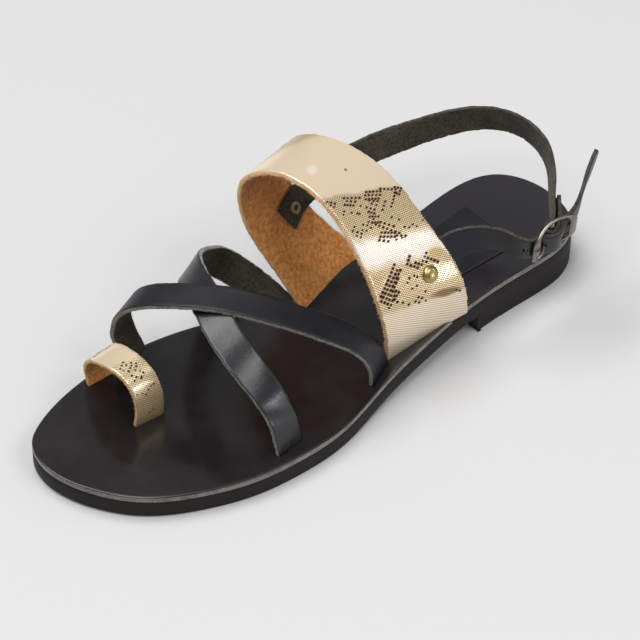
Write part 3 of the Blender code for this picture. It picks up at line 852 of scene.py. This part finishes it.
def gold_foil(name, slant, stops, dots, spots=()):
    """Gold foil on leather in soft colour zones along the strap, with the fine dots of its print; spots are
    soft ovals given as across, along, turn in degrees, half length, half width and colour."""
    look = Look(name, (0.75, 0.6, 0.42), 0.24, 0.5, Coat_Weight=0.3, Coat_Roughness=0.2)
    along, across, _ = look.split(look.strip())
    cloud = look.noise(look.place(), 130.0, 3.0)
    zone = look.math("MULTIPLY_ADD", across, slant, along)
    zone = look.math("ADD", zone, look.span(cloud, *NOISE, -0.9, 0.9))
    colour = look.ramp(zone, stops)
    for side, middle, turn, long, wide, tint in spots:
        c, d = math.cos(math.radians(turn)), math.sin(math.radians(turn))
        far = look.span(cloud, *NOISE, -0.2, 0.2)
        for u, v, size in ((c, d, long), (-d, c, wide)):
            value = look.math("MULTIPLY_ADD", across, u / size, -(side * u + middle * v) / size)
            value = look.math("MULTIPLY_ADD", along, v / size, value)
            far = look.math("MULTIPLY_ADD", value, value, far)
        colour = look.blend(look.span(far, 0.3, 1.2, 1.0, 0.0), colour, tint)
    inked = look.ramp(zone, [(at, (share,) * 3) for at, share in dots])
    grid = np.linalg.inv(np.stack([STEP_RISE, STEP_FALL], 1)) * 2
    far = 0.0
    for row, stretch in zip(grid, (1.0, 0.45)):
        value = look.math("MULTIPLY_ADD", along, row[1], 0.5 - float(row @ LATTICE_AT))
        value = look.math("MULTIPLY_ADD", across, row[0], value)
        value = look.math("SUBTRACT", look.math("FRACT", value), 0.5)
        far = look.math("MULTIPLY_ADD", look.math("MULTIPLY", value, value), stretch, far)
    dot = look.math("MULTIPLY", look.span(look.math("SQRT", far), 0.19, 0.35, 1.0, 0.0), inked)
    look.put("Base Color", look.blend(dot, colour, DOT_INK))
    look.put("Roughness", look.span(cloud, *NOISE, 0.19, 0.27))
    fine = look.noise(look.place(), 1500.0, 2.0)
    look.bump(look.math("SUBTRACT", look.math("MULTIPLY", fine, 0.3), dot), 0.25, 0.0002)
    return look.mat


def metal(name, colour, rough):
    """Plated or solid metal with faint rubbing."""
    look = Look(name, colour, rough, 1.0)
    rub = look.noise(look.place(), 700.0, 3.0)
    look.put("Roughness", look.span(rub, *NOISE, rough - 0.06, rough + 0.08))
    return look.mat


# Looks: colours, then roughness, grain and gloss, or scale, relief and sheen for raw leather
BLACK = smooth_leather("strap_black", (0.005, 0.0055, 0.0085), 0.4, 0.08, 0.38)
BLACK_WORN = smooth_leather("strap_black_worn", (0.006, 0.0065, 0.0085), 0.29, 0.13, 0.55)
BLACK_EDGE = raw_leather("strap_black_edge", (0.04, 0.037, 0.03), (0.26, 0.25, 0.2), 1400.0, 0.6)
DARK_EDGE = raw_leather("strap_dark_edge", (0.013, 0.0115, 0.0085), (0.1, 0.09, 0.068), 1400.0, 0.6, 0.1)
BLACK_FLESH = raw_leather("strap_black_flesh", (0.0105, 0.009, 0.006), (0.046, 0.04, 0.026), 1000.0, 0.7, 0.1)
GREY_FLESH = raw_leather("strap_grey_flesh", (0.018, 0.0155, 0.0115), (0.083, 0.073, 0.053), 1000.0, 0.7, 0.1)
SEAT = smooth_leather("insole_black", (0.0112, 0.0098, 0.0102), 0.16, 0.02, 0.5, (0.021, 0.0192, 0.0217))
SEAT_EDGE = raw_leather("insole_edge", (0.06, 0.056, 0.048), (0.27, 0.255, 0.215), 1500.0, 0.6)
PIT_DARK = raw_leather("rivet_pit", (0.012, 0.011, 0.01), (0.03, 0.028, 0.024), 1200.0, 0.3)
# The cream zone along the middle of the band is painted highlight: a paler tone with fainter dots where the
# strip light's streak falls.
PALE, PRINT, PAINTED_HIGHLIGHT = (1.0, 0.84, 0.62), (0.86, 0.67, 0.39), (0.95, 0.86, 0.75)
PLAIN, SALLOW = (0.92, 0.755, 0.54), (0.76, 0.58, 0.29)
# The brown spot below the outer rivet is painted shade on the underside of the fold there.
PAINTED_FOLD_SHADE, BRIGHT, SPECK = (0.34, 0.2, 0.08), (1.0, 0.9, 0.74), (0.2, 0.13, 0.07)
BAND_GOLD = gold_foil("band_gold", 0.39, [
    (0, PALE), (30.3, PALE), (32.3, PRINT), (49, PRINT), (52.5, PAINTED_HIGHLIGHT), (60, PAINTED_HIGHLIGHT), (64, PRINT),
    (80.5, PRINT), (83, PLAIN), (114, PLAIN), (122, PRINT), (138, PRINT), (144, PALE), (210, PALE)],
    [(0, 0.7), (30.3, 0.7), (32.3, 1), (49, 1), (52.5, 0.5), (60, 0.5), (64, 1), (82, 1), (83, 0), (118, 0),
     (122, 1), (138, 1), (144, 0.7), (210, 0.7)],
    [(-17.3, 52, 0, 3.6, 2.6, SALLOW), (14.8, 44.8, -30, 4.8, 2.2, SALLOW), (11, 27.6, -24, 8.5, 2.1, PAINTED_FOLD_SHADE),
     (-9.3, 101.2, 25, 3.6, 2.1, BRIGHT), (2.7, 93, 0, 0.8, 0.7, SPECK)])
LOOP_GOLD = gold_foil("loop_gold", 0.1, [
    (0, (0.68, 0.47, 0.25)), (18, (0.76, 0.55, 0.31)), (24, (0.84, 0.66, 0.42)), (28, (0.8, 0.64, 0.4)),
    (36, (0.82, 0.66, 0.43)), (39, (0.85, 0.69, 0.48)), (50, PLAIN), (80, (0.7, 0.52, 0.3))],
    [(0, 0.65), (28, 0.65), (36, 0.7), (37, 0), (48, 0), (50, 0.8), (80, 0.8)])
TAN_EDGE = raw_leather("tan_edge", (0.5, 0.26, 0.1), (0.86, 0.58, 0.33), 1300.0, 0.6)
TAN_FLESH = raw_leather("tan_flesh", (0.55, 0.19, 0.03), (1.0, 0.45, 0.125), 650.0, 1.0, 0.15, 0.002, 0.2)
RUBBER = smooth_leather("sole_rubber", (0.0085, 0.007, 0.006), 0.62, 0.08, 0.25)
STEEL = metal("buckle_metal", (0.22, 0.205, 0.185), 0.28)
BRASS = metal("rivet_brass", (0.4, 0.32, 0.14), 0.3)
BRONZE = metal("rivet_back", (0.3, 0.22, 0.13), 0.45)
INK = Look("print_dark", (0.02, 0.01, 0.007), 0.6, Specular_IOR_Level=0.05).mat
INK_FILL = Look("print_fill", (0.3, 0.19, 0.12), 0.55, Specular_IOR_Level=0.1).mat


def banded(name, sheet, gold, cols, seed, ragged, fuzz, figure, size, fill, ends):
    """A gold strap with its print marks and loose edge fibres, trimmed at ends given as x, y and slope."""
    piece = strap(name + "_leather", sheet, [gold, TAN_EDGE, TAN_FLESH], cols, seed, ragged, fuzz)
    for end in ends:
        trim_below(piece, *end)
    long_rows = charted(figure, sheet, 3)
    ground = marks(name + "_print_fill", sheet, FILL_HEIGHT, long_rows, fill, INK_FILL, seed)
    ink = marks(name + "_print", sheet, INK_HEIGHT, charted(figure, sheet), size, INK, seed)
    hair = edge_fibres(name + "_fibres", sheet, 1, GOLD_FIBRES, fuzz * GOLD_FIBRE_LONG, TAN_EDGE, seed,
                       GOLD_FIBRE_SPAN, GOLD_FIBRE_THICK)
    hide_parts(name)


def plain_strap(name, node, sheet, face, seed, tip=0.0, span=(0.05, 0.95), skin=BLACK, rim=BLACK_EDGE,
                flesh=BLACK_FLESH):
    """A black strap with loose edge fibres."""
    looks = [skin, rim, flesh]
    piece = strap(name, sheet, looks, PLAIN_COLS, seed, PLAIN_RAGGED, PLAIN_FUZZ, face, tip)
    hair = edge_fibres(name + "_fibres", sheet, face, PLAIN_FIBRES, PLAIN_FIBRE_LONG, rim, seed, span)
    if node:
        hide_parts(node)
    return piece


# Sole, in rows of inset, height and look
sole = sole_piece("outsole_rubber", [
    (2.0, outsole_base, 0), (lambda x: 0.7 * rounding(x), outsole_base, 0),
    (lambda x: 0.2 * rounding(x), lambda x: outsole_base(x) + 0.2 * rounding(x), 0),
    (0.0, lambda x: outsole_base(x) + 0.7 * rounding(x), 0),
    (0.0, moved(outsole_top, -3.0), 0), (0.0, moved(outsole_top, -0.4), 0),
    (0.15, moved(outsole_top, -0.1), 0), (0.4, outsole_top, 0), (2.0, outsole_top, 0)], [RUBBER])
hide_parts("outsole")

heel_top = HEEL_TOP - INSOLE_THICK - GAP - OUTSOLE_THICK - HEEL_PLAY
heel = sole_piece("heel_block", [
    (2.4, level(0.0), 0), (1.0, level(0.0), 0), (0.55, level(0.15), 0), (0.4, level(0.6), 0),
    (0.0, level(heel_top - 0.04), 0), (0.03, level(heel_top), 0), (2.0, level(heel_top), 0)],
    [RUBBER], HEEL_BREAST)
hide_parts("heel")

seat = sole_piece("insole_leather", [
    (2.0, insole_base, 1), (0.5, insole_base, 1), (0.12, moved(insole_base, 0.12), 1),
    (0.0, moved(insole_base, 0.5), 1), (0.0, moved(sole_top, -0.75), 1), (0.06, moved(sole_top, -0.4), 0),
    (0.25, moved(sole_top, -0.12), 0), (0.65, sole_top, 0), (2.2, sole_top, 0)], [SEAT, SEAT_EDGE])
for slot in (
        (TOE_LOOP, STRAP_WIDTH, LOOP_THICK), (OVER, STRAP_WIDTH, STRAP_THICK),
        (UNDER, STRAP_WIDTH, STRAP_THICK), (BAND, BAND_WIDTH, BAND_THICK, BAND_REAR)):
    cut_out(seat, slot_tool(*slot))
finish_shading(seat, 40)
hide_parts("insole")

# Label patch, from its corners, the way from each to its middle, and the start of its rounding in degrees
rear, fore, inner, inner_fore, outer = LABEL
plan = []
for x, y, dx, dy, start in (
        (rear, inner, 1, 1, 180), (fore, inner_fore, -1, 1, 270),
        (fore, outer, -1, -1, 0), (rear, outer, 1, -1, 90)):
    for t in np.radians(start + np.linspace(0, 90, 6)):
        round_x = x + dx * LABEL_CORNER + LABEL_CORNER * math.cos(t)
        round_y = y + dy * LABEL_CORNER + LABEL_CORNER * math.sin(t)
        plan.append((round_x, round_y))
plan = np.array(plan)
away = unit(plan - plan.mean(0))
top = LABEL_FLOAT + LABEL_THICK
rings = [(0.0, LABEL_FLOAT), (0.0, top - LABEL_SOFT), (LABEL_SOFT, top), (LABEL_FLAT, top)]
stack = [np.column_stack([plan - away * inset, np.full(len(plan), HEEL_TOP + h)]) for inset, h in rings]
patch = make("label_patch", np.concatenate(stack), tube_faces(len(rings), len(plan)), [BLACK], smooth=50)
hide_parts("heel_label")

# Toe loop
sheet = Sheet(*line_of(TOE_LOOP, LOOP_STEP), HEELWARD, STRAP_WIDTH, LOOP_THICK)
banded("toe_loop", sheet, LOOP_GOLD, cols=20, seed=11, ragged=0.1, fuzz=0.14, figure=LOOP_FIGURE, size=0.42,
       fill=0.62, ends=[(203, -8.5, 0.0)])

# Crossed straps
sheet = Sheet(*line_of(OVER, STRAP_STEP), HEELWARD, STRAP_WIDTH, STRAP_THICK, over_lift)
over = plain_strap("strap_over", "cross_straps", sheet, face=-1, seed=21)
trim_below(over, 184, -37.5, 0.0)
trim_below(over, 119, 31, -0.16)
sheet = Sheet(*line_of(UNDER, STRAP_STEP), HEELWARD, STRAP_WIDTH, STRAP_THICK, under_lift)
beneath = plain_strap("strap_under", None, sheet, face=1, seed=31, skin=BLACK_WORN)
trim_below(beneath, 170, 40.5, 0.0)
trim_below(beneath, 124, -17, -0.15)

# Instep band
sheet = Sheet(*line_of(BAND, BAND_STEP), HEELWARD, BAND_WIDTH, BAND_THICK, band_lift, BAND_REAR)
banded("instep_band", sheet, BAND_GOLD, cols=32, seed=41, ragged=0.15, fuzz=0.3, figure=BAND_FIGURE, size=0.6,
       fill=0.9, ends=[(91, 29, -0.14), (98, -14, -0.14)])

# Long heel strap with its fold, and a slit in the fold for the prong
rows = HEEL_RUN + [(*at_buckle(f, o, u), 0) for f, o, u in HEEL_END]
run, roll = line_of(rows, STRAP_STEP)
turns = np.linspace(-math.pi / 2, math.pi / 2, 13)[1:]
fold = np.array([at_buckle(FOLD * math.cos(a), FOLD * math.sin(a), 0) for a in turns])
flap = spline([fold[-1]] + [at_buckle(f, o, u) for f, o, u in FLAP], 24)[1:]
mid = np.concatenate([run, fold, flap])
roll = np.concatenate([roll, np.zeros(len(fold) + len(flap))])
sheet = Sheet(mid, roll, lean(mid), HEEL_STRAP_WIDTH, HEEL_STRAP_THICK)
heel_strap = plain_strap("heel_strap_leather", "heel_strap", sheet, face=-1, seed=51, span=(0.02, 0.8),
                         rim=DARK_EDGE, flesh=GREY_FLESH)
corners = ((-SLIT_OUT, -SLIT_UP), (SLIT_OUT, -SLIT_UP), (SLIT_OUT, SLIT_UP), (-SLIT_OUT, SLIT_UP))
slit = [at_buckle(f, o, u) for f in SLIT_LONG for o, u in corners]
cut_out(heel_strap, make("slit_tool", slit, tube_faces(2, 4), [], rides=False))
finish_shading(heel_strap, 60)

# Side strap with holes and tail
rows = SIDE_RUN + [(*at_buckle(f, o, u), 0) for f, o, u in SIDE_BUCKLE] + SIDE_TAIL
mid, roll = line_of(rows, STRAP_STEP)
sheet = Sheet(mid, roll, lean(mid), HEEL_STRAP_WIDTH, HEEL_STRAP_THICK)
side = plain_strap("side_strap_leather", "side_strap", sheet, face=1, seed=61, tip=5.0, rim=DARK_EDGE)
pin_at = np.argmin(np.linalg.norm(mid - at_buckle(*PIN_HOLE), axis=1))
for k in HOLES:
    i = np.argmin(np.abs(sheet.s - sheet.s[pin_at] - k * HOLE_PITCH))
    punch = turned("punch", mid[i], sheet.out[i], [(HOLE, -PUNCH), (HOLE, PUNCH)], 20, [], rides=False)
    cut_out(side, punch)
finish_shading(side, 60)

# Buckle
long, tall = HALF_LONG - CORNER, HALF_HIGH - CORNER
plan = []
for ex, ey, start in ((1, 1, 0), (-1, 1, 90), (-1, -1, 180), (1, -1, 270)):
    for a in np.radians(start + np.linspace(0, 90, 10)):
        plan.append((ex * long + CORNER * math.cos(a), ey * tall + CORNER * math.sin(a)))
    if start in (0, 180):
        plan += [(ex * long * f, ey * HALF_HIGH) for f in np.linspace(0.8, -0.8, 9)]
    else:
        plan += [(ex * HALF_LONG, ey * tall * f) for f in np.linspace(0.8, -0.8, 7)]
plan = np.array(plan)
bow = 1 - (plan[:, 0] / HALF_LONG) ** 2
path = [at_buckle(f, BAR_LIFT * (1 - b), u * (1 + ARCH / HALF_HIGH * b)) for (f, u), b in zip(plan, bow)]
step = np.roll(plan, -1, 0) - np.roll(plan, 1, 0)
outside = unit(np.stack([step[:, 1], -step[:, 0]], 1))
wide = FORE[None] * outside[:, :1] + UP[None] * outside[:, 1:]
half_wide = FRAME_THIN + FRAME_WIDER * np.abs(outside[:, 0]) ** 2
buckle = sweep("buckle_frame_metal", path, half_wide, FRAME_DEEP, wide, closed=True, looks=[STEEL])
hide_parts("buckle_frame")
bar_top = HALF_HIGH + ARCH - BAR_SHORT
path = [at_buckle(0, 0, u) for u in np.linspace(-bar_top, bar_top, 5)]
bar = sweep("buckle_bar_metal", path, BAR_DRAWN, BAR_DRAWN, FORE, closed=False, looks=[STEEL])
turns = np.linspace(0, 2 * math.pi, 33)[:-1]
path = [at_buckle(EYE_RADIUS * math.cos(a), EYE_RADIUS * math.sin(a), 0) for a in turns]
eye = sweep("buckle_prong_eye", path, EYE_WIDE, EYE_DEEP, UP, closed=True, looks=[STEEL], sides=10)
path = spline([at_buckle(f, o, 0) for f, o in PRONG], PRONG_COUNT)
half_wide, half_deep = (np.linspace(*ends, PRONG_COUNT) for ends in (PRONG_WIDE, PRONG_DEEP))
prong = sweep("buckle_prong_metal", path, half_wide, half_deep, UP, closed=False, looks=[STEEL], sides=12)
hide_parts("buckle_prong")

# Rivets, each square to the band at its spot and as long as the strap inside needs
mid, roll = line_of(BAND, RIVET_STEP)
across, _ = strip_frame(mid, roll, HEELWARD)
side_line = line_of(SIDE_RUN, RIVET_STEP)[0]
heel_line = line_of(HEEL_RUN, RIVET_STEP)[0]
turns = np.radians(np.linspace(0, 85, 12))
for name, point, line, dome in (
        ("rivet_inner", RIVET_INNER, heel_line, False), ("rivet_outer", RIVET_OUTER, side_line, True)):
    off = ((point - mid) * across).sum(1)
    along = mid + across * off[:, None]
    i = np.argmin(np.linalg.norm(point - along, axis=1))
    spot = along[i]
    ahead, behind = i + NEARBY, i - NEARBY
    way = mid[ahead] + across[ahead] * off[i] - mid[behind] - across[behind] * off[i]
    axis = unit(np.cross(across[i], way))
    axis *= np.sign(axis[1] * spot[1])
    near = line - spot
    k = np.argmin(np.linalg.norm(near - (near @ axis)[:, None] * axis, axis=1))
    top = BAND_THICK / 2 - SUNK
    deep = near[k] @ axis - HEEL_STRAP_THICK / 2 - SUNK
    if dome:
        head = [(DOME_RADIUS * math.cos(a), top + DOME_BASE + DOME_RISE * math.sin(a)) for a in turns]
    else:
        head = [
            (DISC_RADIUS + DISC_SOFT * math.cos(a), top + DISC_BASE + DISC_RISE * math.sin(a)) for a in turns]
        head += [(r, top + h) for r, h in DISC_TOP]
    front = [(SHANK, top - 0.5), (SHANK, top), (RIM, top)] + head
    back = [(r, deep + h) for r, h in BACK_RING] + [(SHANK, top - 0.4)]
    for part, profile, look in (("_metal", front, BRASS), ("_back", back, BRONZE)):
        piece = turned(name + part, spot, axis, profile, sides=40, looks=[look], smooth=50)
        if look is BRASS:
            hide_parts(name)
    profile = [(r, deep + h) for r, h in PIT_RING]
    pit = turned(name + "_pit", spot, axis, profile, sides=24, looks=[PIT_DARK], smooth=30)

# Floor, light and camera
bpy.ops.mesh.primitive_plane_add(size=FLOOR_SIZE)
floor = bpy.context.active_object
floor.name = "floor"
floor.data.materials.append(Look("floor_paper", FLOOR_COLOUR, 0.9).mat)

world = bpy.data.worlds.new("studio")
world.use_nodes = True
sky = world.node_tree.nodes["Background"]
sky.inputs["Color"].default_value = SKY_COLOUR
sky.inputs["Strength"].default_value = SKY_STRENGTH
bpy.context.scene.world = world
for light in LIGHTS:
    softbox(*light)

lens = bpy.data.cameras.new("camera")
lens.lens = CAMERA_LENS
lens.sensor_width = SENSOR
lens.clip_start = CLIP_START
camera = bpy.data.objects.new("camera", lens)
look_at = (Vector(CAMERA_AIM) - Vector(CAMERA_AT)).to_track_quat("-Z", "Y").to_matrix().to_4x4()
roll = Matrix.Rotation(math.radians(-CAMERA_ROLL), 4, "Z")
camera.matrix_world = Matrix.Translation(CAMERA_AT) @ look_at @ roll
bpy.context.scene.collection.objects.link(camera)
bpy.context.scene.camera = camera
bpy.context.scene.view_settings.view_transform = "Standard"
